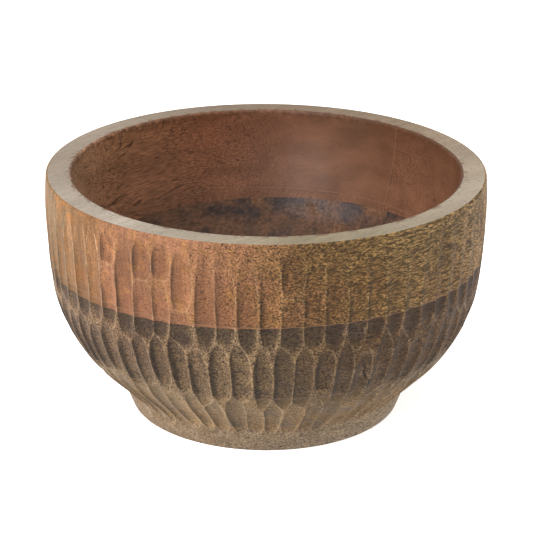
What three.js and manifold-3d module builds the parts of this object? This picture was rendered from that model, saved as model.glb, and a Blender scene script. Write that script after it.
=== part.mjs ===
// A carved wooden bowl, made the way its maker builds it. Boards are glued up into a round blank of
// three courses, the top one from two boards side by side. The blank is turned to a bowl on a short
// foot, and its outside is then cut all over with a gouge, in three rows of upright flutes.
// Millimetres, +Z up. The origin is the centre of the foot's underside.

import * as THREE from 'three';
import { mergeVertices } from 'three/addons/utils/BufferGeometryUtils.js';
import Module from 'manifold-3d';

const wasm = await Module();
wasm.setup();

// Driving dimensions.
const HEIGHT = 90;
const COURSE_HEIGHT = 30;
const RIM_RADIUS = 80;
const FOOT_RADIUS = 49.8;
const MOUTH_RADIUS = 70.7;
const FLOOR_THICKNESS = 16;
const GLUE_THICKNESS = 0.25;
const HALF_GLUE = GLUE_THICKNESS / 2;
const LOWER_JOINT = COURSE_HEIGHT;
const UPPER_JOINT = 2 * COURSE_HEIGHT;

// Rows of gouge cuts, from the rim down. Top and bottom are the heights where a cut starts and
// stops, uneven is how far those heights vary from cut to cut, and shift is in flutes.
const FLUTES = 66;
const CUT_ROWS = [
  { top: 87.5, bottom: 50.5, depth: 0.9, unevenTop: 1, unevenBottom: 2, shift: 0 },
  { top: 53.5, bottom: 28.5, depth: 0.9, unevenTop: 3, unevenBottom: 7, shift: -1 / 3 },
  { top: 28.5, bottom: 6.5, depth: 1.1, unevenTop: 7, unevenBottom: 0.5, shift: 0 },
];

// How finely the surfaces are divided.
const COLUMNS_PER_FLUTE = 3;
const CAVITY_SEGMENTS = 60;
const CAVITY_STEPS = 9;

// Heights that carry a ring of vertices: the rim, the foot, both faces of each course joint, and
// enough between them for the bends of the wall and the ends of the cuts.
const RING_HEIGHTS = [
  HEIGHT,
  87.5,
  84,
  72,
  UPPER_JOINT + HALF_GLUE,
  UPPER_JOINT - HALF_GLUE,
  53.5,
  50,
  44,
  36,
  LOWER_JOINT + HALF_GLUE,
  LOWER_JOINT - HALF_GLUE,
  25,
  19,
  13,
  8.8,
  6.5,
  0,
];

// The outside, as radius and height, from the rim down the wall, under the belly and down the foot.
const outline = new THREE.SplineCurve([
  new THREE.Vector2(RIM_RADIUS, HEIGHT),
  new THREE.Vector2(80.5, 79),
  new THREE.Vector2(79.9, 63),
  new THREE.Vector2(77.7, 45),
  new THREE.Vector2(73, 32.8),
  new THREE.Vector2(66.2, 22.5),
  new THREE.Vector2(57, 13.1),
  new THREE.Vector2(53.1, 8.8),
  new THREE.Vector2(51.8, 5.2),
  new THREE.Vector2(FOOT_RADIUS, 0),
]);

const materials = {
  base: new THREE.MeshStandardMaterial({ color: 0x8b745a, roughness: 0.7, metalness: 0 }),
  middle: new THREE.MeshStandardMaterial({ color: 0x65574a, roughness: 0.65, metalness: 0 }),
  upperRight: new THREE.MeshStandardMaterial({ color: 0x94683f, roughness: 0.6, metalness: 0 }),
  upperLeft: new THREE.MeshStandardMaterial({ color: 0xb58a58, roughness: 0.6, metalness: 0 }),
  glue: new THREE.MeshStandardMaterial({ color: 0x4a3525, roughness: 0.5, metalness: 0 }),
};

// Geometry to a manifold-3d solid, and back.
function toSolid(geometry) {
  const bare = geometry.clone();
  bare.deleteAttribute('normal');
  bare.deleteAttribute('uv');
  const merged = mergeVertices(bare, 1e-4);
  const mesh = new wasm.Mesh({
    numProp: 3,
    vertProperties: merged.attributes.position.array,
    triVerts: new Uint32Array(merged.index.array),
  });
  return new wasm.Manifold(mesh);
}

function toGeometry(solid) {
  const mesh = solid.getMesh();
  const geometry = new THREE.BufferGeometry();
  geometry.setAttribute('position', new THREE.BufferAttribute(mesh.vertProperties, 3));
  geometry.setIndex(new THREE.BufferAttribute(mesh.triVerts, 1));
  geometry.computeVertexNormals();
  return geometry;
}

// The radius of the turned outside, before it is carved.
function outsideRadius(height) {
  let above = 0;
  let below = 1;
  while (below - above > 1e-9) {
    const middle = (above + below) / 2;
    if (outline.getPoint(middle).y > height) above = middle;
    else below = middle;
  }
  return outline.getPoint(below).x;
}

// The radius of the hollow, which is half an ellipse turned round the axis.
function hollowRadius(height) {
  const drop = (HEIGHT - height) / (HEIGHT - FLOOR_THICKNESS);
  return MOUTH_RADIUS * Math.sqrt(Math.max(0, 1 - drop ** 2));
}

// A fixed number from -0.5 to 0.5 for each end of each cut, because the rows end unevenly.
function unevenness(row, flute, end) {
  const wave = Math.sin(12.9898 * flute + 78.233 * row + 37.719 * end) * 43758.5453;
  return wave - Math.floor(wave) - 0.5;
}

// How deep one cut is at a height, and a share of a flute off its middle line.
function cutDepth(row, flute, height, across) {
  const spec = CUT_ROWS[row];
  const top = spec.top + spec.unevenTop * unevenness(row, flute, 0);
  const bottom = spec.bottom + spec.unevenBottom * unevenness(row, flute, 1);
  const along = (2 * height - top - bottom) / (top - bottom);
  return Math.max(0, spec.depth * (1 - along ** 4 - 4 * across ** 2));
}

// The carved depth at a place on the outside is that of the deepest cut that reaches it. A turn is
// the angle round the bowl, counted in flutes from the ridge on the front joint.
function carvedDepth(turn, height) {
  let depth = 0;
  CUT_ROWS.forEach((spec, row) => {
    const place = turn - spec.shift - 0.5;
    for (const nearest of [Math.floor(place), Math.ceil(place)]) {
      const flute = (nearest + FLUTES) % FLUTES;
      depth = Math.max(depth, cutDepth(row, flute, height, place - nearest));
    }
  });
  return depth;
}

// The turned blank with every flute carved in its outside, and no hollow yet.
function carvedBlank() {
  const columns = FLUTES * COLUMNS_PER_FLUTE;
  const positions = [];
  for (const height of RING_HEIGHTS) {
    const turned = outsideRadius(height);
    for (let column = 0; column < columns; column += 1) {
      const radius = turned - carvedDepth(column / COLUMNS_PER_FLUTE, height);
      const angle = (2 * Math.PI * column) / columns - Math.PI / 2;
      positions.push(radius * Math.cos(angle), radius * Math.sin(angle), height);
    }
  }
  const topCentre = positions.length / 3;
  const bottomCentre = topCentre + 1;
  positions.push(0, 0, HEIGHT);
  positions.push(0, 0, 0);

  const faces = [];
  const lastRing = topCentre - columns;
  for (let column = 0; column < columns; column += 1) {
    const next = (column + 1) % columns;
    for (let ring = 0; ring < lastRing; ring += columns) {
      const below = ring + columns;
      faces.push(ring + column, below + column, below + next);
      faces.push(ring + column, below + next, ring + next);
    }
    faces.push(topCentre, column, next);
    faces.push(bottomCentre, lastRing + next, lastRing + column);
  }
  const geometry = new THREE.BufferGeometry();
  geometry.setAttribute('position', new THREE.Float32BufferAttribute(positions, 3));
  geometry.setIndex(faces);
  return toSolid(geometry);
}

// The space that the hollow takes, from the floor up through the mouth.
function hollow() {
  const depth = HEIGHT - FLOOR_THICKNESS;
  const profile = [new THREE.Vector2(0, FLOOR_THICKNESS)];
  for (let step = 1; step <= CAVITY_STEPS; step += 1) {
    const height = HEIGHT - depth * Math.cos((Math.PI / 2) * (step / CAVITY_STEPS));
    profile.push(new THREE.Vector2(hollowRadius(height), height));
  }
  profile.push(new THREE.Vector2(MOUTH_RADIUS, HEIGHT + COURSE_HEIGHT));
  profile.push(new THREE.Vector2(0, HEIGHT + COURSE_HEIGHT));
  const geometry = new THREE.LatheGeometry(profile, CAVITY_SEGMENTS);
  geometry.rotateX(Math.PI / 2);
  return toSolid(geometry);
}

// The space that one board filled in the blank, between two corners.
function block(low, high) {
  const size = new THREE.Vector3().subVectors(high, low);
  const middle = new THREE.Vector3().addVectors(low, high).multiplyScalar(0.5);
  const geometry = new THREE.BoxGeometry(size.x, size.y, size.z);
  geometry.translate(middle.x, middle.y, middle.z);
  return toSolid(geometry);
}

// The flat ring of glue in a course joint. The cuts and the hollow leave its edges just inside.
function courseGlue(height) {
  const recess = 0.3;
  const inner = hollowRadius(height) + recess;
  const outer = outsideRadius(height) - CUT_ROWS[0].depth - recess;
  const profile = [
    new THREE.Vector2(inner, height + HALF_GLUE),
    new THREE.Vector2(inner, height - HALF_GLUE),
    new THREE.Vector2(outer, height - HALF_GLUE),
    new THREE.Vector2(outer, height + HALF_GLUE),
    new THREE.Vector2(inner, height + HALF_GLUE),
  ];
  const geometry = new THREE.LatheGeometry(profile, CAVITY_SEGMENTS);
  geometry.rotateX(Math.PI / 2);
  return geometry;
}

const bowl = new THREE.Group();
const bowlSolid = carvedBlank().subtract(hollow());

function addPiece(name, geometry, material) {
  const piece = new THREE.Mesh(geometry, material);
  piece.name = name;
  bowl.add(piece);
}

// A piece that takes the carved bowl's shape inside its own block.
function addCarvedPiece(name, material, low, high) {
  addPiece(name, toGeometry(bowlSolid.intersect(block(low, high))), material);
}

function addCourses() {
  const reach = RIM_RADIUS + 10;
  const corner = (height) => new THREE.Vector3(reach, reach, height);
  const opposite = (height) => new THREE.Vector3(-reach, -reach, height);
  addCarvedPiece('base_course', materials.base, opposite(-1), corner(LOWER_JOINT - HALF_GLUE));
  addPiece('course_glue_lower', courseGlue(LOWER_JOINT), materials.glue);
  addCarvedPiece(
    'middle_course',
    materials.middle,
    opposite(LOWER_JOINT + HALF_GLUE),
    corner(UPPER_JOINT - HALF_GLUE),
  );
  addPiece('course_glue_upper', courseGlue(UPPER_JOINT), materials.glue);
}

// The top course: a board on each side of the plane x = 0, with a glue film where they meet at the
// front and another at the back.
function addTopCourse() {
  const reach = RIM_RADIUS + 10;
  const low = UPPER_JOINT + HALF_GLUE;
  const high = HEIGHT + 1;
  const addUpperPiece = (name, material, [left, right], [front, back]) =>
    addCarvedPiece(
      name,
      material,
      new THREE.Vector3(left, front, low),
      new THREE.Vector3(right, back, high),
    );
  addUpperPiece('upper_board_right', materials.upperRight, [HALF_GLUE, reach], [-reach, reach]);
  addUpperPiece('upper_board_left', materials.upperLeft, [-reach, -HALF_GLUE], [-reach, reach]);
  addUpperPiece('edge_glue_front', materials.glue, [-HALF_GLUE, HALF_GLUE], [-reach, 0]);
  addUpperPiece('edge_glue_back', materials.glue, [-HALF_GLUE, HALF_GLUE], [0, reach]);
}

addCourses();
addTopCourse();

export default bowl;
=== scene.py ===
import math

import bpy
import numpy as np
from mathutils import Matrix, Vector


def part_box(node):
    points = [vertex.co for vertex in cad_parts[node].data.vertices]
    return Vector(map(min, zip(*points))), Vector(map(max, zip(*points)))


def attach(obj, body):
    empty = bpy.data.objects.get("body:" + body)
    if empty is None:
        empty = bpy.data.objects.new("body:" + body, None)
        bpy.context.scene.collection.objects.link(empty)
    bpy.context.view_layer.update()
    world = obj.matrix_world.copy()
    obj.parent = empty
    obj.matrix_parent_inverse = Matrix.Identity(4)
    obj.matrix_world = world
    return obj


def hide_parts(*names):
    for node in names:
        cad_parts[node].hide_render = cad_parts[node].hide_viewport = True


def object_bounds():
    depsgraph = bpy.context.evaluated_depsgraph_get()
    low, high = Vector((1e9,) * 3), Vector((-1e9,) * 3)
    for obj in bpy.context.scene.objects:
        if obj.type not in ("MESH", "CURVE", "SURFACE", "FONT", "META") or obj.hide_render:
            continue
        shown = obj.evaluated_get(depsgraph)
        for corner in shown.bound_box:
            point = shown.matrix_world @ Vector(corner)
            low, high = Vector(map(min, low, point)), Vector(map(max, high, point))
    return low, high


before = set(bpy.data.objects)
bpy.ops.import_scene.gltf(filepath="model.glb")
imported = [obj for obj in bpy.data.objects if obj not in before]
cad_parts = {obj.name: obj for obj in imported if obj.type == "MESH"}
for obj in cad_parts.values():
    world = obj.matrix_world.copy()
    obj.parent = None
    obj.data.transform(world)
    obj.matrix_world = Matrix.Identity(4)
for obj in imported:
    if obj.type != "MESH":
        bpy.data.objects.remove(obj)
CAD_LOW, CAD_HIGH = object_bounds()

# ---------------------------------------------------------------------------------------------
# Sizes. Lengths are in millimetres of a bowl 90 mm high, and MM turns them into the frame's metres.
# Angles round the bowl are in degrees from the front joint, which is at -Y, towards +X.
# ---------------------------------------------------------------------------------------------
HEIGHT = 90.0
MM = CAD_HIGH.z / HEIGHT
MOUTH_RADIUS = 70.7
FLOOR_HEIGHT = 16.0
RIM_EASE = 0.7
INNER_EASE = 0.9
FOOT_EASE = 0.8


def heights_of(node):
    """The lowest and highest level of a CAD node, in millimetres."""
    low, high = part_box(node)
    return low[2] / MM, high[2] / MM


BASE_TOP = heights_of("base_course")[1]
MIDDLE_BOTTOM, MIDDLE_TOP = heights_of("middle_course")
UPPER_BOTTOM = heights_of("upper_board_right")[0]
HALF_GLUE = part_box("edge_glue_front")[1][0] / MM

# The outside's outline, as radius and height, from the rim down to the foot.
OUTLINE = [
    (80.0, 90.0), (80.5, 79.0), (79.9, 63.0), (77.7, 45.0), (73.0, 32.8),
    (66.2, 22.5), (57.0, 13.1), (53.1, 8.8), (51.8, 5.2), (49.8, 0.0),
]

# How finely the skin is divided: columns round the outside, how many of them share a column of the
# hollow, the distance between the outside's rows, and the hollow's rows for each radian of its arc.
COLUMNS = 1584
INNER_SHARE = 4
ROW_STEP = 0.66
INNER_ROWS = 66.0
# Rows this far from an eased edge are added, so that it comes out round.
OUTER_EDGE_ROWS = np.array([0.06, 0.15, 0.28])
INNER_EDGE_ROWS = np.array([0.1, 0.3, 0.6])
# Levels closer than this count as the same one.
NEAR = 0.01
# The rings of the underside, as shares of the foot's radius.
UNDERSIDE_RINGS = np.array([0.92, 0.6, 0.3])
# How far the glue lies below the wood's surface.
FILM_RECESS = 0.02


def outline_samples(steps=400):
    """The outline as a smooth curve through its points: radius, height and distance from the rim."""
    points = np.array(OUTLINE)
    share = np.linspace(0.0, 1.0, steps, endpoint=False)[:, None]
    pieces = []
    for i in range(len(points) - 1):
        before, start = points[max(i - 1, 0)], points[i]
        end, after = points[i + 1], points[min(i + 2, len(points) - 1)]
        leave, arrive = (end - before) / 2, (after - start) / 2
        cubic = 2 * start - 2 * end + leave + arrive
        square = -3 * start + 3 * end - 2 * leave - arrive
        pieces.append(((cubic * share + square) * share + leave) * share + start)
    curve = np.vstack([*pieces, points[-1:]])
    steps_along = np.hypot(*np.diff(curve, axis=0).T)
    return curve[:, 0], curve[:, 1], np.concatenate([[0.0], np.cumsum(steps_along)])


OUT_RADIUS, OUT_HEIGHT, OUT_DOWN = outline_samples()
OUTLINE_LENGTH = OUT_DOWN[-1]


def down_at(height):
    """Distance down the outline from the rim to a height."""
    return np.interp(height, OUT_HEIGHT[::-1], OUT_DOWN[::-1])


def hollow_radius(height):
    """The radius of the hollow, which is half an ellipse turned round the axis."""
    drop = (HEIGHT - height) / (HEIGHT - FLOOR_HEIGHT)
    return MOUTH_RADIUS * np.sqrt(np.clip(1.0 - drop**2, 0.0, 1.0))


# ---------------------------------------------------------------------------------------------
# The gouge's cuts.
# ---------------------------------------------------------------------------------------------
# How deep the gouge goes in each row, in millimetres.
UPPER_DEPTH = 0.82
MIDDLE_DEPTH = 1.25
LOWER_DEPTH = 0.95
# The first stroke of some flutes in the top row stops short, and a second one goes on from there.
# The numbers are a flute, counted from the front joint, and how far down it the strokes meet.
TWO_STROKE_FLUTES = {
    0: 0.33, 2: 0.36, 3: 0.33, 4: 0.6, 9: 0.42, 21: 0.5, 30: 0.3, 37: 0.45, 46: 0.35, 57: 0.4,
}


class CutRow:
    """One row of strokes, each with a middle, a width, two ends and a depth of its own."""

    def __init__(self, seed, count, first_ridge, ends, uneven, depth, width, deepening=0.0):
        rng = np.random.default_rng(seed)
        spread = rng.uniform(-1.0, 1.0, (8, count))
        self.count = count
        self.first_ridge = first_ridge
        self.pitch = 360.0 / count
        self.middle = (np.arange(count) + 0.5 + 0.06 * spread[0]) * self.pitch + first_ridge
        self.half_width = self.pitch / 2 * (width + 0.09 * spread[1])
        self.top = ends[0] + uneven[0] * spread[2]
        self.bottom = ends[1] + uneven[1] * spread[3]
        self.depth = depth * (1.0 + 0.15 * spread[4])
        self.slant = 0.012 * spread[5]
        self.blunt = 3.0 + 0.9 * spread[6]
        self.pointed = 2.2 + 0.6 * spread[6, ::-1]
        self.tone = spread[7]
        self.deepening = deepening

    def depths(self, angle, down):
        """Yields the depth and tone of each stroke that may reach some places."""
        nearest = np.floor((angle - self.first_ridge) / self.pitch).astype(int)
        for offset in (-1, 0, 1):
            index = (nearest + offset) % self.count
            away = angle - self.middle[index] - self.slant[index] * (down - self.top[index])
            away = (away + 180.0) % 360.0 - 180.0
            across = away / self.half_width[index]
            length = self.bottom[index] - self.top[index]
            along = (2 * down - self.top[index] - self.bottom[index]) / np.maximum(length, 1e-6)
            steep_side = np.abs(across) ** 2.6
            easy_side = np.abs(across) ** 1.8
            section = np.where(across < 0.0, steep_side, easy_side)
            run = np.abs(along) ** np.where(along < 0.0, self.pointed[index], self.blunt[index])
            deepest = self.depth[index] * (1 + self.deepening * np.clip(along, -1.0, 1.0))
            depth = np.where(length > 1.0, deepest * (1 - run - section), -1.0)
            yield depth, self.tone[index] + 0 * depth


def make_cut_rows():
    upper = CutRow(11, 66, 0.0, (2.2, 41.0), (0.9, 1.8), UPPER_DEPTH, 1.06, 0.5)
    middle = CutRow(12, 66, -1.9, (37.5, 64.5), (2.6, 6.5), MIDDLE_DEPTH, 1.0)
    lower = CutRow(13, 60, 3.0, (61.5, 91.4), (6.0, 0.8), LOWER_DEPTH, 1.04)
    first_strokes = CutRow(14, 66, 0.0, (2.8, 2.8), (0.9, 0.0), UPPER_DEPTH, 1.0)
    first_strokes.bottom = first_strokes.top.copy()
    for flute, share in TWO_STROKE_FLUTES.items():
        split = upper.top[flute] + share * (upper.bottom[flute] - upper.top[flute])
        first_strokes.bottom[flute] = split + 1.5
        upper.top[flute] = split - 1.5
    return [upper, middle, lower, first_strokes]


CUT_ROWS = make_cut_rows()
# The pale line along a cut's edge: how far inside the edge it lies, and its half width.
EDGE_OFFSET = 0.18
EDGE_WIDTH = 0.3
# Degrees round and millimetres down to the places whose depths tell how a cut's wall leans.
LEAN_STEP = 0.2
DOWN_STEP = 0.2
# A drying crack in the middle course, from one angle and distance down to another.
CRACK_TOP = (70.5, 45.5)
CRACK_BOTTOM = (75.0, 60.5)
CRACK_HALF_WIDTH = 0.27
CRACK_DEPTH = 0.4


def wobble(seed, angle, down, waves, size):
    """Smooth unevenness of a hand-made surface: a sum of seeded waves round and down the bowl."""
    rng = np.random.default_rng(seed)
    total = np.zeros(np.broadcast(angle, down).shape)
    for _ in range(waves):
        around = rng.integers(2, 40)
        along = rng.uniform(-0.25, 0.25)
        total += np.sin(np.radians(angle) * around + down * along + rng.uniform(0, 2 * math.pi))
    return size * total / math.sqrt(waves)


def crack_at(angle, down):
    """How much of a fine drying crack in the middle course is at a place, from 0 to 1."""
    share = (down - CRACK_TOP[1]) / (CRACK_BOTTOM[1] - CRACK_TOP[1])
    line = CRACK_TOP[0] + (CRACK_BOTTOM[0] - CRACK_TOP[0]) * share
    line = line + 0.3 * np.sin(down * 0.8) + 0.16 * np.sin(down * 1.9 + 1.0)
    half_width = CRACK_HALF_WIDTH * np.sqrt(np.clip(4.0 * share * (1.0 - share), 1e-6, 1.0))
    return np.where((share > 0) & (share < 1), np.exp(-(((angle - line) / half_width) ** 2)), 0.0)


def carve(angle, down):
    """Depth of the carved wood at a place, and its margin over the next deepest stroke there."""
    crack = crack_at(angle, down)
    angle = angle + wobble(24, angle, down * 1.6, 14, 0.16)
    best = np.zeros(np.broadcast(angle, down).shape)
    second = np.zeros_like(best)
    tone = np.zeros_like(best)
    for row in CUT_ROWS:
        for depth, stroke_tone in row.depths(angle, down):
            second = np.maximum(second, np.minimum(best, depth))
            tone = np.where(depth > best, stroke_tone, tone)
            best = np.maximum(best, depth)
    return best, best - second, {"tone": tone, "crack": crack}


# ---------------------------------------------------------------------------------------------
# Meshes.
# ---------------------------------------------------------------------------------------------
def eased(distance, ease):
    """How far an edge is rounded back at a distance from it."""
    share = np.clip(1.0 - distance / ease, 0.0, 1.0)
    return ease * (1.0 - np.sqrt(1.0 - share**2))


def at_rim(height):
    return height > HEIGHT - NEAR


def at_foot(height):
    return height < NEAR


def row_distances(high, low):
    """Distances down the outline for rows between two heights, closer together at an eased edge."""
    start, end = down_at(high), down_at(low)
    rows = np.linspace(start, end, max(2, round((end - start) / ROW_STEP) + 1))
    if at_rim(high):
        rows = np.concatenate([rows[:1], start + OUTER_EDGE_ROWS, rows[1:]])
    if at_foot(low):
        rows = np.concatenate([rows[:-1], end - OUTER_EDGE_ROWS[::-1], rows[-1:]])
    return rows


def outer_grid(angles, high, low, recess=0.0):
    """Points of the carved outside, and what the material needs to know at each of them."""
    down = row_distances(high, low)[:, None]
    height = np.interp(down, OUT_DOWN, OUT_HEIGHT)
    height[0], height[-1] = high, low
    radius = np.interp(down, OUT_DOWN, OUT_RADIUS)
    slope = np.gradient(OUT_HEIGHT, OUT_DOWN)
    upright = np.abs(np.interp(down, OUT_DOWN, slope))
    angle = angles[None, :]
    depth, margin, facts = carve(angle, down)
    further, side_margin, _ = carve(angle + LEAN_STEP, down)
    _, lower_margin, _ = carve(angle, down + DOWN_STEP)
    sideways = np.radians(LEAN_STEP) * radius
    lean = (further - depth) / sideways
    fall = np.hypot((side_margin - margin) / sideways, (lower_margin - margin) / DOWN_STEP)
    to_edge = margin / np.maximum(fall, 0.03)
    ridge = np.exp(-(((to_edge - EDGE_OFFSET) / EDGE_WIDTH) ** 2)) * (depth > 0.0)
    uneven = wobble(21, angle, down, 12, 0.05) * np.clip(depth / 0.3, 0.0, 1.0)
    carved = radius - (depth + uneven + CRACK_DEPTH * facts["crack"]) / upright - recess
    if at_rim(high):
        carved = carved - eased(down, RIM_EASE)
    if at_foot(low):
        carved = carved - eased(OUTLINE_LENGTH - down, FOOT_EASE)
    turn = np.radians(angle - 90.0)
    points = np.stack([carved * np.cos(turn), carved * np.sin(turn), height + 0 * carved], axis=-1)
    return points, {"hollow": depth / MIDDLE_DEPTH, "lean": lean, "ridge": ridge, **facts}


def inner_grid(angles, high, low, recess=0.0):
    """Points of the smooth hollow, from its upper edge down."""
    reach = HEIGHT - FLOOR_HEIGHT
    start = math.acos(min(1.0, (HEIGHT - low) / reach))
    end = math.acos((HEIGHT - high) / reach)
    rows = np.linspace(end, start, max(2, round((end - start) * INNER_ROWS) + 1))
    height = (HEIGHT - reach * np.cos(rows))[:, None]
    height[0] = high
    height[-1] = max(low, FLOOR_HEIGHT)
    if at_rim(high):
        height = np.concatenate([height[:1], high - INNER_EDGE_ROWS[:, None], height[1:]])
    angle = angles[None, :]
    radius = hollow_radius(height) + wobble(22, angle, height, 8, 0.07) + recess
    if at_rim(high):
        radius = radius + eased(HEIGHT - height, INNER_EASE)
    turn = np.radians(angle - 90.0)
    points = np.stack([radius * np.cos(turn), radius * np.sin(turn), height + 0 * radius], axis=-1)
    return points, {}


class Skin:
    """Gathers points and faces of one closed piece, then makes its Blender object."""

    OUTSIDE, INSIDE, FLAT = 0, 1, 2
    FACTS = ("hollow", "ridge", "lean", "tone", "crack")

    def __init__(self):
        self.points = []
        self.facts = {label: [] for label in Skin.FACTS}
        self.corners, self.sizes, self.regions = [], [], []
        self.count = 0

    def add_points(self, points, facts=None):
        flat = points.reshape(-1, 3)
        for label in Skin.FACTS:
            values = (facts or {}).get(label)
            self.facts[label].append(np.zeros(len(flat)) if values is None else values.ravel())
        self.points.append(flat)
        first = self.count
        self.count += len(flat)
        return first + np.arange(len(flat)).reshape(points.shape[:-1])

    def add_faces(self, corners, region):
        """Adds faces that all have the same number of corners, one row each."""
        corners = np.asarray(corners)
        self.corners.append(corners.ravel())
        self.sizes.append(np.full(len(corners), corners.shape[1]))
        self.regions.append(np.full(len(corners), region))

    def add_grid(self, index, region, flip=False):
        """Quads between neighbouring rows and columns of a grid of point numbers."""
        here, below = index[:-1, :-1], index[1:, :-1]
        across, beside = index[1:, 1:], index[:-1, 1:]
        order = [here, beside, across, below] if flip else [here, below, across, beside]
        self.add_faces(np.stack([o.ravel() for o in order], axis=1), region)

    def add_ledge(self, outer, inner, up):
        """A flat ring from a row of outer points to a coarser row of inner ones."""
        many = INNER_SHARE
        steps = len(inner) - 1
        fans = np.stack([outer[i * many : (i + 1) * many + 1] for i in range(steps)])
        faces = np.concatenate([fans, inner[1:, None], inner[:-1, None]], axis=1)
        self.add_faces(faces if up else faces[:, ::-1], Skin.FLAT)

    @staticmethod
    def sharpen(mesh, regions, sizes):
        """Marks the edges between the outside, the inside and the flats as sharp."""
        edges = np.empty(len(mesh.loops), dtype=np.int64)
        mesh.loops.foreach_get("edge_index", edges)
        region = np.repeat(regions, sizes)
        lowest = np.full(len(mesh.edges), Skin.FLAT)
        highest = np.full(len(mesh.edges), Skin.OUTSIDE)
        np.minimum.at(lowest, edges, region)
        np.maximum.at(highest, edges, region)
        sharp = mesh.attributes.new("sharp_edge", "BOOLEAN", "EDGE")
        sharp.data.foreach_set("value", lowest != highest)

    def make(self, name, materials):
        mesh = bpy.data.meshes.new(name)
        points = np.concatenate(self.points) * MM
        corners = np.concatenate(self.corners)
        sizes = np.concatenate(self.sizes)
        regions = np.concatenate(self.regions)
        mesh.vertices.add(len(points))
        mesh.vertices.foreach_set("co", points.ravel())
        mesh.loops.add(len(corners))
        mesh.loops.foreach_set("vertex_index", corners)
        mesh.polygons.add(len(sizes))
        mesh.polygons.foreach_set("loop_start", np.concatenate([[0], np.cumsum(sizes)[:-1]]))
        mesh.polygons.foreach_set("material_index", np.minimum(regions, len(materials) - 1))
        mesh.polygons.foreach_set("use_smooth", regions != Skin.FLAT)
        mesh.update(calc_edges=True)
        self.sharpen(mesh, regions, sizes)
        for label, values in self.facts.items():
            layer = mesh.attributes.new(label, "FLOAT", "POINT")
            layer.data.foreach_set("value", np.concatenate(values).astype(np.float32))
        for material in materials:
            mesh.materials.append(material)
        mesh.validate()
        made = bpy.data.objects.new(name, mesh)
        bpy.context.scene.collection.objects.link(made)
        return made


def closed_row(index):
    """A grid of point numbers whose last column is its first one again."""
    return np.concatenate([index, index[:, :1]], axis=1)


def ring_skin(high, low, recess=0.0):
    """A full ring of the bowl's wall between two heights."""
    skin = Skin()
    outer_angles = np.arange(COLUMNS) * 360.0 / COLUMNS
    outer = closed_row(skin.add_points(*outer_grid(outer_angles, high, low, recess)))
    inner = closed_row(skin.add_points(*inner_grid(outer_angles[::INNER_SHARE], high, low, recess)))
    skin.add_grid(outer, Skin.OUTSIDE)
    skin.add_grid(inner, Skin.INSIDE, flip=True)
    skin.add_ledge(outer[0], inner[0], up=True)
    skin.add_ledge(outer[-1], inner[-1], up=False)
    return skin


def base_skin(high):
    """The base course: the carved underside, the foot with its flat underside, and the floor."""
    skin = Skin()
    outer_angles = np.arange(COLUMNS) * 360.0 / COLUMNS
    inner_angles = outer_angles[::INNER_SHARE]
    outer = closed_row(skin.add_points(*outer_grid(outer_angles, high, 0.0)))
    points, _ = inner_grid(inner_angles, high, FLOOR_HEIGHT)
    inner = closed_row(skin.add_points(points[:-1]))
    skin.add_grid(outer, Skin.OUTSIDE)
    skin.add_grid(inner, Skin.INSIDE, flip=True)
    skin.add_ledge(outer[0], inner[0], up=True)
    floor = skin.add_points(np.array([[0.0, 0.0, FLOOR_HEIGHT]]))[0]
    last = inner[-1]
    skin.add_faces(np.stack([np.full(len(last) - 1, floor), last[:-1], last[1:]], axis=1), Skin.INSIDE)

    turn = np.radians(inner_angles - 90.0)
    radii = OUTLINE[-1][0] * UNDERSIDE_RINGS[:, None]
    rings = np.stack([radii * np.cos(turn), radii * np.sin(turn), 0 * radii * turn], axis=-1)
    under = closed_row(skin.add_points(rings))
    skin.add_ledge(outer[-1], under[0], up=False)
    skin.add_grid(under, Skin.FLAT)
    centre = skin.add_points(np.zeros((1, 3)))[0]
    last = under[-1]
    skin.add_faces(np.stack([np.full(len(last) - 1, centre), last[1:], last[:-1]], axis=1), Skin.FLAT)
    return skin


def board_skin(high, low, side):
    """Half a ring: an upper board, on the side of the joint plane where x has the sign of side."""
    skin = Skin()
    start = 0.0 if side > 0 else 180.0
    outer_angles = start + np.arange(COLUMNS // 2 + 1) * 360.0 / COLUMNS
    grids = []
    for points, facts in (
        outer_grid(outer_angles, high, low),
        inner_grid(outer_angles[::INNER_SHARE], high, low),
    ):
        points[..., 0] = side * np.maximum(side * points[..., 0], HALF_GLUE)
        grids.append(skin.add_points(points, facts))
    outer, inner = grids
    skin.add_grid(outer, Skin.OUTSIDE)
    skin.add_grid(inner, Skin.INSIDE, flip=True)
    skin.add_ledge(outer[0], inner[0], up=True)
    skin.add_ledge(outer[-1], inner[-1], up=False)
    for column, reverse in ((0, False), (-1, True)):
        cap = np.concatenate([outer[::-1, column], inner[:, column]])
        skin.add_faces([cap[::-1] if reverse else cap], Skin.FLAT)
    return skin


def edge_film_skin(high, low, angle):
    """The glue film between the upper boards, at one of the two places where they meet."""
    skin = Skin()
    angles = np.array([angle])
    outer_points, _ = outer_grid(angles, high, low, FILM_RECESS)
    inner_points, _ = inner_grid(angles, high, low, FILM_RECESS)
    loop = np.concatenate([outer_points[:, 0], inner_points[::-1, 0]])
    sides = []
    for x in (-HALF_GLUE, HALF_GLUE):
        side = loop.copy()
        side[:, 0] = x
        side[:, 2] = np.minimum(side[:, 2], high - FILM_RECESS)
        sides.append(skin.add_points(side))
    left, right = sides
    if angle > 90.0:
        left, right = right, left
    skin.add_faces([left], Skin.FLAT)
    skin.add_faces([right[::-1]], Skin.FLAT)
    skin.add_faces(
        np.stack([left, np.roll(left, -1), np.roll(right, -1), right], axis=1)[:, ::-1], Skin.FLAT
    )
    return skin


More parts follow.
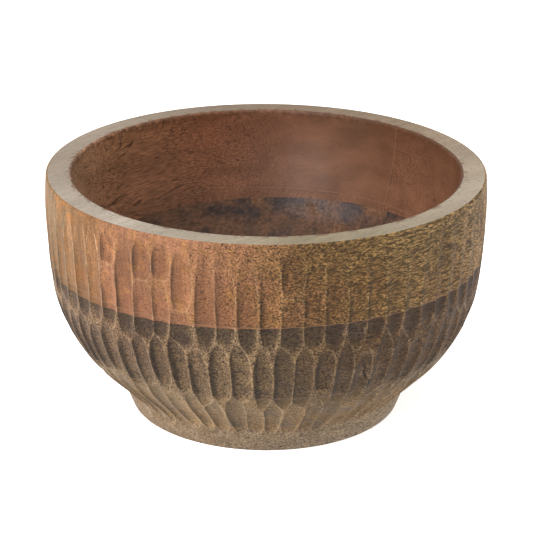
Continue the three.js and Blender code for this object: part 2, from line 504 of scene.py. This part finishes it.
# ---------------------------------------------------------------------------------------------
# Materials. Patterns are placed by object coordinates in millimetres, so they run on through the
# pieces. The grain of every board lies along Y: its pores show as dots on the front and the back
# of the bowl, and as dashes on its sides.
# ---------------------------------------------------------------------------------------------
def srgb(red, green, blue):
    """A colour as the screen shows it, 0 to 255, to the linear values that shaders take."""
    values = [v / 255.0 for v in (red, green, blue)]
    linear = [v / 12.92 if v <= 0.04045 else ((v + 0.055) / 1.055) ** 2.4 for v in values]
    return (*linear, 1.0)


class Recipe:
    """Writes one material's nodes. A value may be a number, a colour or another node's output."""

    def __init__(self, name, roughness, gloss):
        self.material = bpy.data.materials.new(name)
        self.material.use_nodes = True
        self.tree = self.material.node_tree
        self.shader = self.tree.nodes["Principled BSDF"]
        self.shader.inputs["Roughness"].default_value = roughness
        self.shader.inputs["Specular IOR Level"].default_value = gloss
        metres = self.add("ShaderNodeTexCoord").outputs["Object"]
        self.place = self.vector("DIVIDE", metres, (MM, MM, MM))
        self.x, self.y, self.z = self.add("ShaderNodeSeparateXYZ", {0: self.place}).outputs
        turn = self.calc("ARCTAN2", self.x, self.calc("MULTIPLY", self.y, -1.0))
        self.angle = self.calc("DEGREES", turn)

    def add(self, kind, inputs=None, **settings):
        node = self.tree.nodes.new(kind)
        for key, value in settings.items():
            setattr(node, key, value)
        for key, value in (inputs or {}).items():
            self.feed(node.inputs[key], value)
        return node

    def feed(self, socket, value):
        if isinstance(value, bpy.types.NodeSocket):
            self.tree.links.new(value, socket)
        else:
            socket.default_value = value

    def calc(self, operation, *values):
        return self.add("ShaderNodeMath", dict(enumerate(values)), operation=operation).outputs[0]

    def times(self, *values):
        total = values[0]
        for value in values[1:]:
            total = self.calc("MULTIPLY", total, value)
        return total

    def vector(self, operation, *values):
        inputs = dict(enumerate(values))
        return self.add("ShaderNodeVectorMath", inputs, operation=operation).outputs[0]

    def mix(self, share, first, second, blend="MIX"):
        inputs = {0: share, 6: first, 7: second}
        return self.add("ShaderNodeMix", inputs, data_type="RGBA", blend_type=blend).outputs[2]

    def ease(self, value, start, end):
        """0 before start, 1 past end, and a smooth step between them, in either direction."""
        inputs = {"Value": value, "From Min": start, "From Max": end}
        return self.add("ShaderNodeMapRange", inputs, interpolation_type="SMOOTHSTEP").outputs["Result"]

    def ramp(self, value, start, end, *stops):
        """A colour that changes through its stops as a value goes from start to end."""
        share = self.add("ShaderNodeMapRange", {"Value": value, "From Min": start, "From Max": end})
        node = self.add("ShaderNodeValToRGB", {"Fac": share.outputs["Result"]})
        elements = node.color_ramp.elements
        while len(elements) < len(stops):
            elements.new(0.5)
        for element, (position, colour) in zip(elements, stops):
            element.position = (position - start) / (end - start)
            element.color = srgb(*colour)
        return node.outputs["Color"]

    def shade(self, colour, value, dark, light):
        """Darkens or lightens a colour by a factor that follows a noise value."""
        inputs = {"Value": value, "From Min": 0.3, "From Max": 0.7, "To Min": dark, "To Max": light}
        factor = self.add("ShaderNodeMapRange", inputs).outputs["Result"]
        return self.mix(1.0, colour, factor, "MULTIPLY")

    def attribute(self, label):
        return self.add("ShaderNodeAttribute", attribute_name=label).outputs["Fac"]

    def sized(self, sizes, place=None):
        return self.vector("DIVIDE", self.place if place is None else place, sizes)

    def noise(self, sizes, detail=2.0, warp=0.0, place=None):
        """Soft noise whose blobs measure sizes millimetres along x, y and z."""
        inputs = {"Vector": self.sized(sizes, place), "Scale": 1.0, "Detail": detail, "Distortion": warp}
        return self.add("ShaderNodeTexNoise", inputs).outputs["Fac"]

    def warped(self, size, amounts):
        """The place, pushed about by noise with blobs of a size, up to amounts millimetres each way."""
        inputs = {"Vector": self.sized((size, size * 2, size)), "Scale": 1.0, "Detail": 2.0}
        colour = self.add("ShaderNodeTexNoise", inputs).outputs["Color"]
        push = self.vector("MULTIPLY", self.vector("SUBTRACT", colour, (0.5, 0.5, 0.5)), amounts)
        return self.vector("ADD", self.place, push)

    def pores(self, sizes, place, share):
        """Dark marks along the grain, as many as share says, from 0 to 1."""
        marks = self.noise(sizes, 1.0, 0.0, place)
        level = self.calc("ADD", 0.3, self.times(share, 0.18))
        return self.ease(marks, self.calc("ADD", level, 0.045), self.calc("SUBTRACT", level, 0.045))

    def contours(self, value, count, width):
        """Thin lines where a value passes each of its count levels."""
        wave = self.calc("ABSOLUTE", self.calc("SINE", self.times(value, count * math.pi)))
        return self.ease(wave, width, 0.0)

    def patch(self, angle, height, half_angle, half_height):
        """1 at a place on the bowl, fading to 0 at an angle and a height away from it."""
        sideways = self.calc("DIVIDE", self.calc("SUBTRACT", self.angle, angle), half_angle)
        upward = self.calc("DIVIDE", self.calc("SUBTRACT", self.z, height), half_height)
        squares = self.calc("ADD", self.times(sideways, sideways), self.times(upward, upward))
        return self.ease(squares, 1.0, 0.1)

    def finish(self, colour, relief, relief_depth, roughness=None):
        self.feed(self.shader.inputs["Base Color"], colour)
        if roughness is not None:
            self.feed(self.shader.inputs["Roughness"], roughness)
        inputs = {"Height": relief, "Distance": relief_depth * MM, "Strength": 1.0}
        bump = self.add("ShaderNodeBump", inputs)
        self.feed(self.shader.inputs["Normal"], bump.outputs["Normal"])
        return self.material


# The line where the upper boards' colour ends: its height at the middle, and its rise towards +X.
LINE_HEIGHT = 57.8
LINE_RISE = 0.033


def lower_joint_colour(wood):
    """The colour that the two lower courses share where they meet."""
    return wood.ramp(
        wood.angle, -180.0, 180.0,
        (-180.0, (124, 102, 76)), (2.0, (118, 97, 71)), (20.0, (138, 114, 83)), (44.0, (136, 111, 79)),
        (62.0, (112, 91, 63)), (78.0, (92, 74, 51)), (115.0, (94, 76, 54)), (180.0, (124, 102, 76)),
    )


def value_of(setting, wood):
    """A setting is a number, or a function that works it out for every place on the wood."""
    return setting(wood) if callable(setting) else setting


def add_cut_shade_and_wear(wood, colour, hollow, ridge, wall):
    """Painted shade and wear along the cuts: darker hollows, partly a real stain and partly painted
    shade; painted shade on the steep left walls, which face away from the light from the left; and pale
    broken worn ridges. hollow and ridge are a colour and its share, and wall is how dark the painted
    shade on the steep left walls is."""
    deep = wood.ease(wood.attribute("hollow"), 0.05, 0.6)
    lean = wood.attribute("lean")
    # Darker hollows: partly a real stain and partly painted shade.
    colour = wood.mix(wood.times(deep, value_of(hollow[1], wood)), colour, srgb(*hollow[0]))
    # Painted shade on the steep left walls of the cuts, which face away from the light from the left.
    painted_wall_shade = wood.times(wood.ease(lean, 0.08, 0.62), wall)
    colour = wood.mix(painted_wall_shade, colour, srgb(26, 20, 16))
    broken = wood.ease(wood.noise((1.3, 3.0, 2.4), 3.0), 0.36, 0.6)
    below_rim = wood.ease(wood.z, 88.0, 80.0)
    pale = wood.times(wood.ease(wood.attribute("ridge"), 0.25, 0.95), ridge[1], below_rim)
    pale = wood.times(pale, wood.calc("ADD", wood.times(broken, 0.8), 0.2), wood.ease(lean, 0.35, 0.0))
    return wood.mix(pale, colour, srgb(*ridge[0]))


def above_leaning_line(wood):
    """1 above the line where the upper boards' colour ends. The line leans, so that on the left and
    at the back a strip of the middle course has the boards' colour."""
    fall = wood.calc("ADD", wood.times(wood.x, LINE_RISE), LINE_HEIGHT)
    return wood.ease(wood.calc("SUBTRACT", wood.z, fall), -0.12, 0.12)


def carved_wood(name, ground, streak, pore, pore_share, hollow, ridge, wall, bands, speckle, cover=None):
    """The outside of a course. ground and streak give its colours, and bands and speckle how uneven
    they are. pore and pore_share are the pores' colour and number. hollow and wall give the darker
    hollows, partly a real stain and partly painted shade, and the painted shade on the cuts' steep left
    walls; ridge gives the pale worn ridges, and cover is what lies above the leaning line."""
    wood = Recipe(name, 0.64, 0.22)
    colour = ground(wood)
    streaks = wood.noise((5.0, 26.0, 7.0), 4.0, 0.6)
    colour = wood.mix(wood.ease(streaks, 0.48, 0.68), colour, streak(wood))
    colour = wood.shade(colour, wood.noise((1.6, 30.0, 22.0), 3.0, 0.4), 1.0 - bands, 1.0 + bands)
    colour = wood.shade(colour, wood.noise((2.6, 7.0, 2.6), 3.0), 0.88, 1.13)
    fibres = wood.noise((0.55, 1.3, 0.55), 1.0)
    strength = value_of(speckle, wood)
    darkest, lightest = wood.calc("SUBTRACT", 1.0, strength), wood.calc("ADD", 1.0, strength)
    colour = wood.shade(colour, fibres, darkest, lightest)
    tone = wood.calc("ADD", wood.times(wood.attribute("tone"), 0.2), 0.5)
    colour = wood.shade(colour, tone, 0.8, 1.2)

    colour = add_cut_shade_and_wear(wood, colour, hollow, ridge, wall)
    wavy = wood.warped(5.0, (1.2, 0.0, 4.4))
    share = value_of(pore_share, wood)
    marks = wood.pores((0.8, 5.6, 0.5), wavy, share)
    dots = wood.pores((0.45, 1.6, 0.45), wood.place, wood.times(share, 0.8))
    dark = wood.calc("MAXIMUM", marks, wood.times(dots, 0.7))
    colour = wood.mix(wood.times(dark, 0.8), colour, srgb(*pore))
    crack = wood.times(wood.ease(wood.attribute("crack"), 0.15, 0.8), 0.85)
    colour = wood.mix(crack, colour, srgb(24, 17, 13))
    if cover:
        colour = wood.mix(above_leaning_line(wood), colour, cover(wood, fibres))
    relief = wood.calc("SUBTRACT", wood.times(fibres, 0.5), dark)
    return wood.finish(colour, relief, 0.09)


def right_board_colour(wood):
    """Orange at the front, turning olive and then yellow round the side, with a wavy change."""
    sway = wood.times(wood.calc("SUBTRACT", wood.noise((16.0, 30.0, 16.0), 2.0), 0.5), 40.0)
    colour = wood.ramp(
        wood.calc("ADD", wood.angle, sway), 0.0, 200.0,
        (0.0, (125, 87, 61)), (16.0, (136, 94, 69)), (42.0, (144, 101, 69)), (60.0, (127, 96, 56)),
        (84.0, (144, 115, 71)), (108.0, (158, 126, 84)), (128.0, (156, 125, 88)), (190.0, (138, 100, 70)),
    )
    near_rim = wood.times(wood.ease(wood.z, 73.0, 82.0), wood.ease(wood.angle, 28.0, 48.0))
    return wood.mix(near_rim, colour, srgb(240, 239, 238), "MULTIPLY")


def left_board_colour(wood):
    """Yellow-brown at the front, and a little redder at the back."""
    return wood.ramp(
        wood.angle, -180.0, 0.0,
        (-180.0, (126, 92, 68)), (-110.0, (128, 98, 74)), (-60.0, (127, 100, 74)),
        (-24.0, (118, 92, 63)), (0.0, (120, 84, 54)),
    )


def right_board_outside():
    def streak(wood):
        return wood.ramp(
            wood.angle, 0.0, 180.0,
            (0.0, (152, 106, 72)), (40.0, (138, 98, 58)), (90.0, (124, 98, 58)), (180.0, (140, 104, 70)),
        )

    def pore_share(wood):
        rising = wood.ease(wood.angle, 22.0, 62.0)
        falling = wood.ease(wood.angle, 150.0, 110.0)
        return wood.calc("ADD", 0.04, wood.times(0.86, rising, falling))

    def speckle(wood):
        return wood.calc("ADD", 0.28, wood.times(0.42, wood.ease(wood.angle, 15.0, 60.0)))

    return carved_wood(
        "upper_right_outside", right_board_colour, streak, pore=(48, 35, 21), pore_share=pore_share,
        hollow=((98, 54, 34), 0.26), ridge=((186, 152, 112), 0.4), wall=0.8, bands=0.18,
        speckle=speckle,
    )


def left_board_outside():
    def streak(wood):
        return wood.ramp(
            wood.angle, -180.0, 0.0,
            (-180.0, (134, 98, 60)), (-40.0, (140, 100, 58)), (0.0, (136, 88, 46)),
        )

    return carved_wood(
        "upper_left_outside", left_board_colour, streak, pore=(70, 46, 28), pore_share=0.02,
        hollow=((98, 60, 38), 0.2), ridge=((206, 184, 156), 0.75), wall=0.5, bands=0.3, speckle=0.28,
    )


def middle_outside():
    def ground(wood):
        brown = wood.ramp(
            wood.angle, -180.0, 180.0,
            (-180.0, (110, 86, 66)), (-20.0, (132, 103, 76)), (12.0, (114, 88, 64)), (36.0, (143, 116, 85)),
            (48.0, (138, 112, 81)), (66.0, (97, 74, 50)), (112.0, (98, 71, 44)), (180.0, (106, 84, 63)),
        )
        blotches = wood.ease(wood.noise((7.0, 18.0, 7.0), 5.0, 0.4), 0.49, 0.66)
        near_joint = wood.times(wood.ease(wood.z, 44.0, 57.0), wood.ease(wood.angle, 70.0, 52.0))
        greyed = wood.calc("MAXIMUM", wood.times(blotches, 0.55), wood.times(near_joint, 0.36))
        colour = wood.mix(greyed, brown, srgb(80, 65, 50))
        colour = wood.mix(wood.ease(wood.angle, 30.0, 70.0), colour, srgb(243, 237, 226), "MULTIPLY")
        return wood.mix(wood.ease(wood.z, 38.0, 29.0), add_sapwood(wood, colour), lower_joint_colour(wood))

    def add_sapwood(wood, colour):
        sapwood = wood.patch(67.5, 57.5, 4.2, 4.6)
        lower_sapwood = wood.patch(81.5, 55.5, 3.4, 5.5)
        fleck = wood.patch(64.4, 39.0, 0.5, 3.4)
        fading = wood.ease(wood.noise((1.6, 2.4, 2.0), 3.0), 0.36, 0.55)
        colour = wood.mix(wood.times(sapwood, fading, 0.9), colour, srgb(158, 130, 102))
        colour = wood.mix(wood.times(lower_sapwood, fading, 0.75), colour, srgb(156, 116, 86))
        return wood.mix(wood.times(fleck, 0.9), colour, srgb(196, 132, 80))

    def streak(wood):
        return wood.ramp(wood.z, 30.0, 60.0, (30.0, (124, 100, 75)), (60.0, (92, 70, 54)))

    def near_joint_hollows(wood):
        # How strongly the hollows darken, partly a real stain and partly painted shade, growing towards the
        # upper joint.
        return wood.calc("ADD", 0.38, wood.times(wood.ease(wood.z, 46.0, 54.0), 0.3))

    def boards_strip(wood, fibres):
        """The upper boards' colours, for the strip above the leaning line."""
        right = wood.ease(wood.angle, -1.0, 1.0)
        colour = wood.mix(right, left_board_colour(wood), right_board_colour(wood))
        colour = wood.shade(colour, fibres, 0.72, 1.28)
        # The boards' darker hollows, painted shade on the cuts' left walls, and pale worn ridges.
        return add_cut_shade_and_wear(wood, colour, ((98, 58, 36), 0.22), ((200, 176, 144), 0.7), 0.6)

    return carved_wood(
        "middle_outside", ground, streak, pore=(34, 26, 20), pore_share=0.5,
        hollow=((42, 32, 26), near_joint_hollows), ridge=((180, 154, 122), 0.45), wall=0.75, bands=0.08,
        speckle=0.7, cover=boards_strip,
    )


def base_outside():
    def ground(wood):
        colour = wood.ramp(
            wood.z, 0.0, 30.0,
            (0.0, (144, 125, 103)), (8.0, (141, 121, 97)), (10.5, (160, 129, 92)),
            (20.0, (162, 131, 93)),
        )
        colour = wood.mix(wood.ease(wood.z, 19.0, 30.0), colour, lower_joint_colour(wood))
        shaded = wood.calc("MAXIMUM", wood.ease(wood.angle, 46.0, 64.0), wood.ease(wood.angle, 16.0, 0.0))
        belly = wood.times(wood.ease(wood.z, 9.0, 11.0), shaded)
        colour = wood.mix(belly, colour, srgb(238, 233, 222), "MULTIPLY")
        # Painted shade: the foot is darker on the left and at the front.
        foot = wood.times(wood.ease(wood.z, 11.0, 8.0), wood.ease(wood.angle, 80.0, 0.0))
        return wood.mix(foot, colour, srgb(230, 221, 210), "MULTIPLY")

    def streak(wood):
        return wood.ramp(wood.z, 0.0, 30.0, (0.0, (146, 126, 104)), (30.0, (132, 108, 82)))

    return carved_wood(
        "base_outside", ground, streak, pore=(74, 56, 40), pore_share=0.3,
        hollow=((60, 46, 32), 0.3), ridge=((196, 172, 138), 0.5), wall=0.55, bands=0.06, speckle=0.45,
    )


# The colours round the hollow in each upper board: an angle, and the colour there. They are partly
# the wood's own and partly painted light: paler in the left board, to lift the shade that the light
# from the left leaves there, and darker at the back and on the right, where that light falls.
LEFT_INSIDE = (
    (-180.0, (84, 54, 36)), (-165.0, (90, 61, 45)), (-150.0, (105, 70, 51)), (-130.0, (108, 70, 51)),
    (-115.0, (110, 68, 46)), (-80.0, (138, 97, 68)), (-45.0, (160, 124, 96)), (0.0, (110, 74, 52)),
)
RIGHT_INSIDE = ((0.0, (112, 74, 52)), (90.0, (96, 63, 44)), (150.0, (89, 58, 40)), (180.0, (84, 54, 38)))


def left_lines(wood):
    """Where the left board's growth lines show: not on its far side."""
    return wood.ease(wood.angle, -150.0, -118.0)


def board_inside(wood, palette, line_side):
    """The boards' colour in the hollow, with growth lines where line_side says, and its relief."""
    lower = wood.ease(wood.z, 92.0, 58.0)
    colour = wood.ramp(wood.angle, -180.0, 180.0, *palette)
    colour = wood.mix(wood.times(lower, 0.5), colour, srgb(128, 87, 64))
    haze = wood.noise((14.0, 34.0, 9.0), 4.0, 0.5)
    colour = wood.shade(colour, haze, 0.8, 1.22)
    fibres = wood.noise((0.5, 6.0, 0.5), 2.0)
    crisp = value_of(line_side, wood)
    faint_grain, bold_grain = wood.times(crisp, 0.3), wood.times(crisp, 0.34)
    darkest, lightest = wood.calc("SUBTRACT", 0.9, faint_grain), wood.calc("ADD", 1.1, bold_grain)
    colour = wood.shade(colour, fibres, darkest, lightest)
    growth = wood.noise((30.0, 60.0, 15.0), 2.6, 0.9)
    lines = wood.contours(growth, 26.0, 0.34)
    faint = wood.ease(wood.noise((12.0, 20.0, 8.0), 1.0), 0.3, 0.55)
    colour = wood.mix(wood.times(lines, crisp, faint, 0.8), colour, srgb(40, 24, 16))
    ragged = wood.ease(wood.noise((2.2, 2.2, 2.2), 3.0), 0.38, 0.56)
    grime = wood.times(wood.ease(wood.z, 86.0, 89.5), ragged)
    colour = wood.mix(wood.times(grime, 0.6), colour, srgb(74, 46, 28))
    return colour, wood.calc("SUBTRACT", fibres, wood.times(lines, 0.5))


def upper_inside(name, palette, line_side):
    """The smooth hollow through an upper board."""
    wood = Recipe(name, 0.42, 0.28)
    colour, relief = board_inside(wood, palette, line_side)
    return wood.finish(colour, relief, 0.03)


def left_board_inside():
    return upper_inside("upper_left_inside", LEFT_INSIDE, left_lines)


def right_board_inside():
    return upper_inside("upper_right_inside", RIGHT_INSIDE, 0.55)


def lower_inside(name):
    """The hollow below the upper joint: brown, clouded with charcoal that is densest just below the
    boards' colour."""
    wood = Recipe(name, 0.42, 0.28)
    browns = wood.noise((6.0, 9.0, 6.0), 4.0, 0.3)
    colour = wood.ramp(browns, 0.3, 0.7, (0.3, (84, 62, 48)), (0.7, (112, 78, 55)))
    clouds = wood.noise((9.0, 15.0, 8.0), 8.0, 0.7)
    near_top = wood.times(wood.ease(wood.z, 44.0, 56.0), 0.12)
    charred = wood.ease(wood.calc("ADD", clouds, near_top), 0.52, 0.76)
    clear = wood.times(wood.ease(wood.angle, -118.0, -84.0), wood.ease(wood.angle, 10.0, -10.0))
    charred = wood.times(charred, wood.calc("SUBTRACT", 0.88, wood.times(clear, 0.6)))
    colour = wood.mix(charred, colour, srgb(50, 43, 44))
    # A painted bluish sheen low at the back, right of the middle, standing in for a soft highlight there.
    painted_sheen = wood.times(wood.patch(-156.0, 54.0, 20.0, 6.0), wood.ease(clouds, 0.3, 0.5))
    colour = wood.mix(wood.times(painted_sheen, 0.3), colour, srgb(116, 104, 102))
    flecks = wood.noise((1.1, 2.4, 1.1), 3.0)
    colour = wood.shade(colour, flecks, 0.6, 1.45)

    def line_side(wood):
        return wood.calc("MAXIMUM", left_lines(wood), 0.4)

    strip, strip_relief = board_inside(wood, LEFT_INSIDE[:-1] + RIGHT_INSIDE, line_side)
    colour = wood.mix(above_leaning_line(wood), colour, strip)
    return wood.finish(colour, strip_relief, 0.03)


def cut_flat(name, *stops):
    """A flat sawn or sanded face: the rim, the faces of the joints and the underside."""
    wood = Recipe(name, 0.72, 0.25)
    colour = wood.ramp(wood.angle, -180.0, 180.0, *stops)
    colour = wood.shade(colour, wood.noise((18.0, 30.0, 12.0), 3.0, 0.3), 0.88, 1.12)
    lines = wood.noise((0.7, 16.0, 1.0), 3.0, 0.2)
    colour = wood.shade(colour, lines, 0.86, 1.14)
    specks = wood.pores((0.5, 1.8, 0.5), wood.place, 0.3)
    colour = wood.mix(wood.times(specks, 0.45), colour, srgb(92, 72, 52))
    reach = wood.calc("SQRT", wood.calc("ADD", wood.times(wood.x, wood.x), wood.times(wood.y, wood.y)))
    chipped = wood.ease(wood.noise((2.6, 3.4, 2.6), 4.0), 0.5, 0.6)
    inner_edge = wood.times(wood.ease(reach, 74.0, 71.0), wood.ease(wood.z, 80.0, 89.0), chipped)
    colour = wood.mix(wood.times(inner_edge, 0.85), colour, srgb(98, 62, 38))
    return wood.finish(colour, wood.calc("SUBTRACT", lines, specks), 0.05)


def glue_film():
    """Dark brown glue, set in the joints, with wood dust in it."""
    glue = Recipe("glue_film", 0.45, 0.4)
    dust = glue.noise((1.2, 1.2, 1.2), 3.0)
    colour = glue.ramp(dust, 0.3, 0.7, (0.3, (104, 74, 54)), (0.7, (126, 90, 66)))
    return glue.finish(colour, dust, 0.04)


def pale_floor():
    """A plain pale studio floor."""
    floor = Recipe("floor_pale", 0.9, 0.2)
    floor.shader.inputs["Base Color"].default_value = srgb(253, 253, 253)
    floor.shader.inputs["Emission Color"].default_value = (1.0, 1.0, 1.0, 1.0)
    floor.shader.inputs["Emission Strength"].default_value = FLOOR_GLOW
    return floor.material


# ---------------------------------------------------------------------------------------------
# The bowl.
# ---------------------------------------------------------------------------------------------
def add_piece(name, skin, materials, node):
    piece = skin.make(name, materials)
    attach(piece, "root")
    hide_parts(node)
    return piece


def build_bowl():
    # The rim's colours round the bowl are partly the wood's own and partly painted light, for how the light
    # from the left falls off across it.
    rim = cut_flat(
        "upper_flat",
        (-180.0, (137, 119, 99)), (-140.0, (125, 106, 87)), (-85.0, (147, 133, 117)),
        (-45.0, (137, 124, 110)), (0.0, (162, 150, 136)), (30.0, (150, 138, 120)), (55.0, (130, 118, 95)),
        (115.0, (160, 147, 129)), (180.0, (141, 122, 101)),
    )
    course_flat = cut_flat("middle_flat", (-180.0, (118, 98, 78)), (180.0, (112, 92, 74)))
    foot_flat = cut_flat("base_flat", (-180.0, (160, 138, 112)), (180.0, (154, 132, 108)))
    base = [base_outside(), lower_inside("base_inside"), foot_flat]
    middle = [middle_outside(), lower_inside("middle_inside"), course_flat]
    right = [right_board_outside(), right_board_inside(), rim]
    left = [left_board_outside(), left_board_inside(), rim]
    glue = [glue_film()]
    add_piece("carved_base", base_skin(BASE_TOP), base, "base_course")
    add_piece(
        "carved_middle", ring_skin(MIDDLE_TOP, MIDDLE_BOTTOM), middle, "middle_course"
    )
    right_skin = board_skin(HEIGHT, UPPER_BOTTOM, 1)
    add_piece("carved_board_right", right_skin, right, "upper_board_right")
    left_skin = board_skin(HEIGHT, UPPER_BOTTOM, -1)
    add_piece("carved_board_left", left_skin, left, "upper_board_left")
    lower_film = ring_skin(MIDDLE_BOTTOM, BASE_TOP, FILM_RECESS)
    add_piece("glue_line_lower", lower_film, glue, "course_glue_lower")
    upper_film = ring_skin(UPPER_BOTTOM, MIDDLE_TOP, FILM_RECESS)
    add_piece("glue_line_upper", upper_film, glue, "course_glue_upper")
    front = edge_film_skin(HEIGHT, UPPER_BOTTOM, 0.0)
    add_piece("glue_line_front", front, glue, "edge_glue_front")
    back = edge_film_skin(HEIGHT, UPPER_BOTTOM, 180.0)
    add_piece("glue_line_back", back, glue, "edge_glue_back")


# ---------------------------------------------------------------------------------------------
# The studio.
# ---------------------------------------------------------------------------------------------
CAMERA_AZIMUTH = 45.0
CAMERA_ELEVATION = 21.3
CAMERA_DISTANCE = 800.0
CAMERA_ROLL = -0.35
AIM = (0.3, 0.0, 51.4)
LENS = 145.9
SENSOR = 36.0
# The middle of the bowl's height, which the soft lights face.
LIT_HEIGHT = 55.0
# Each soft light's place to the right of, beyond and above the foot, its side, its watts, and
# whether it shows in highlights.
SOFT_LIGHTS = {
    "key_left": ((-700.0, -330.0, 310.0), 400.0, 6.8, False),
    "window_front": ((-330.0, -660.0, 330.0), 240.0, 2.2, True),
    "fill_right": ((750.0, -150.0, 90.0), 400.0, 3.2, False),
}
# The broad light from above, and how many degrees of the sky it fills.
OVERHEAD_STRENGTH = 1.55
OVERHEAD_SOFTNESS = 50.0
# How far the floor reaches, and the light that it gives of itself, so that it stays white.
FLOOR_REACH = 6000.0
FLOOR_GLOW = 0.65
WORLD_LIGHT = 0.52


def studio_axes():
    """Unit vectors to the right of the view and away from it, level with the floor."""
    turn = math.radians(CAMERA_AZIMUTH)
    return Vector((math.cos(turn), math.sin(turn), 0.0)), Vector((-math.sin(turn), math.cos(turn), 0.0))


def place(right, away, up):
    """A point of the studio, in millimetres right of, beyond and above the bowl's foot."""
    rightward, onward = studio_axes()
    return (rightward * right + onward * away + Vector((0.0, 0.0, up))) * MM


def aim_at(thing, target):
    thing.rotation_mode = "QUATERNION"
    thing.rotation_quaternion = (target - thing.location).to_track_quat("-Z", "Y")


def add_camera():
    data = bpy.data.cameras.new("camera")
    data.lens = LENS
    data.sensor_width = SENSOR
    data.clip_start = 0.01
    data.clip_end = 50.0
    camera = bpy.data.objects.new("camera", data)
    tilt = math.radians(CAMERA_ELEVATION)
    back = CAMERA_DISTANCE * math.cos(tilt)
    camera.location = place(AIM[0], AIM[1] - back, AIM[2] + CAMERA_DISTANCE * math.sin(tilt))
    aim_at(camera, place(*AIM))
    roll = Matrix.Rotation(-math.radians(CAMERA_ROLL), 4, "Z")
    camera.rotation_quaternion = (camera.rotation_quaternion.to_matrix().to_4x4() @ roll).to_quaternion()
    bpy.context.scene.collection.objects.link(camera)
    bpy.context.scene.camera = camera


def add_softbox(name, spot, side, watts, glossy):
    """A soft square light that faces the bowl; without glossy it leaves no highlights."""
    data = bpy.data.lights.new(name, "AREA")
    data.shape = "SQUARE"
    data.size = side * MM
    data.energy = watts
    lamp = bpy.data.objects.new(name, data)
    lamp.visible_glossy = glossy
    lamp.location = place(*spot)
    aim_at(lamp, place(0.0, 0.0, LIT_HEIGHT))
    bpy.context.scene.collection.objects.link(lamp)


def add_overhead_light(strength, softness):
    """A broad even light from above, the same all over the floor."""
    data = bpy.data.lights.new("overhead", "SUN")
    data.energy = strength
    data.angle = math.radians(softness)
    lamp = bpy.data.objects.new("overhead", data)
    lamp.location = place(0.0, 0.0, 1000.0)
    bpy.context.scene.collection.objects.link(lamp)


def add_floor():
    mesh = bpy.data.meshes.new("studio_floor")
    far = FLOOR_REACH * MM
    mesh.from_pydata([(-far, -far, 0), (far, -far, 0), (far, far, 0), (-far, far, 0)], [], [(0, 1, 2, 3)])
    mesh.materials.append(pale_floor())
    floor = bpy.data.objects.new("studio_floor", mesh)
    bpy.context.scene.collection.objects.link(floor)
    floor.visible_diffuse = False


def add_studio():
    add_floor()
    add_camera()
    add_overhead_light(OVERHEAD_STRENGTH, OVERHEAD_SOFTNESS)
    for name, settings in SOFT_LIGHTS.items():
        add_softbox(name, *settings)
    world = bpy.data.worlds.new("studio_world")
    world.use_nodes = True
    background = world.node_tree.nodes["Background"]
    background.inputs["Color"].default_value = (1.0, 1.0, 1.0, 1.0)
    background.inputs["Strength"].default_value = WORLD_LIGHT
    bpy.context.scene.world = world
    bpy.context.scene.view_settings.view_transform = "Standard"


build_bowl()
add_studio()
